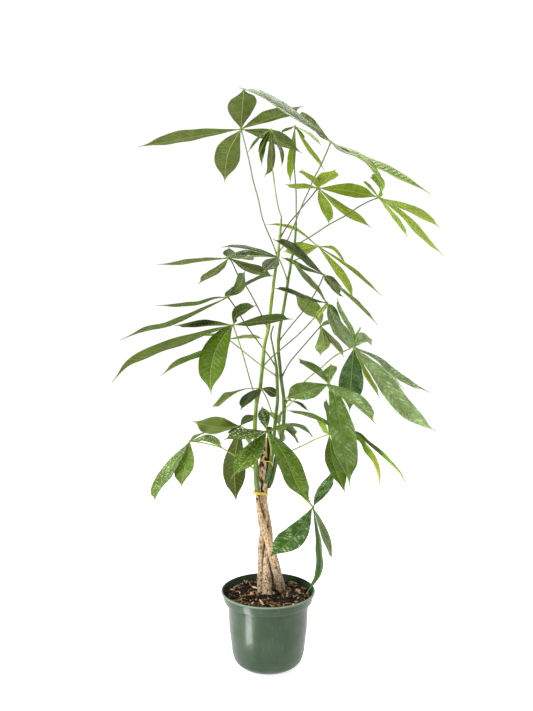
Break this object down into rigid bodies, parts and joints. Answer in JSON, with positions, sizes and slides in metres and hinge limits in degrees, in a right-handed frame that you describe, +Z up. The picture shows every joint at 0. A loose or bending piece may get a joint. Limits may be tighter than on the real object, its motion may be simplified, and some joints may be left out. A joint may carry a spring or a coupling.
{
  "type": "potted money tree",
  "caption": "Indoor money tree with a braided trunk, slender green stems and palmate leaves, in a round green plastic nursery pot filled with bark soil.",
  "frame": {"origin": "centre of the pot's flat underside", "axes": "+Z up along the pot's axis, +Y away from the viewer of the picture, +X to the viewer's right"},
  "size_m": [0.5563, 0.472, 0.993],
  "materials": {
    "pot": "satin green plastic",
    "soil": "loose dark bark and peat",
    "bark": "dry tan bark",
    "stem": "smooth green skin",
    "leaf": "glossy above, matt beneath",
    "twist_tie": "yellow coated wire"
  },
  "bodies": {
    "root": {"pot": "pot", "soil": "soil", "trunk_strand_front": "bark", "trunk_strand_left": "bark", "trunk_strand_back": "bark", "stem_left": "stem", "stem_middle": "stem", "stem_right": "stem", "twist_tie_lower": "twist_tie", "twist_tie_upper": "twist_tie", "leaf_01_top_left": "leaf", "leaf_02_top_bud": "leaf", "leaf_03_top_young": "leaf", "leaf_04_top_front": "leaf", "leaf_05_upper_right": "leaf", "leaf_06_far_right": "leaf", "leaf_07_behind_right": "leaf", "leaf_08_front_right": "leaf", "leaf_09_front_middle": "leaf", "leaf_10_upper_left": "leaf", "leaf_11_left": "leaf", "leaf_12_left_front": "leaf", "leaf_13_left_back": "leaf", "leaf_14_right_front": "leaf", "leaf_15_right_back": "leaf", "leaf_16_right": "leaf", "leaf_17_right_low_front": "leaf", "leaf_18_right_low": "leaf", "leaf_19_left_small": "leaf", "leaf_20_left_low": "leaf", "leaf_21_left_lowest": "leaf", "leaf_22_front_low": "leaf", "leaf_23_lowest_right": "leaf", "leaf_24_between_stems": "leaf", "leaf_25_small": "leaf"}
  },
  "joints": []
}
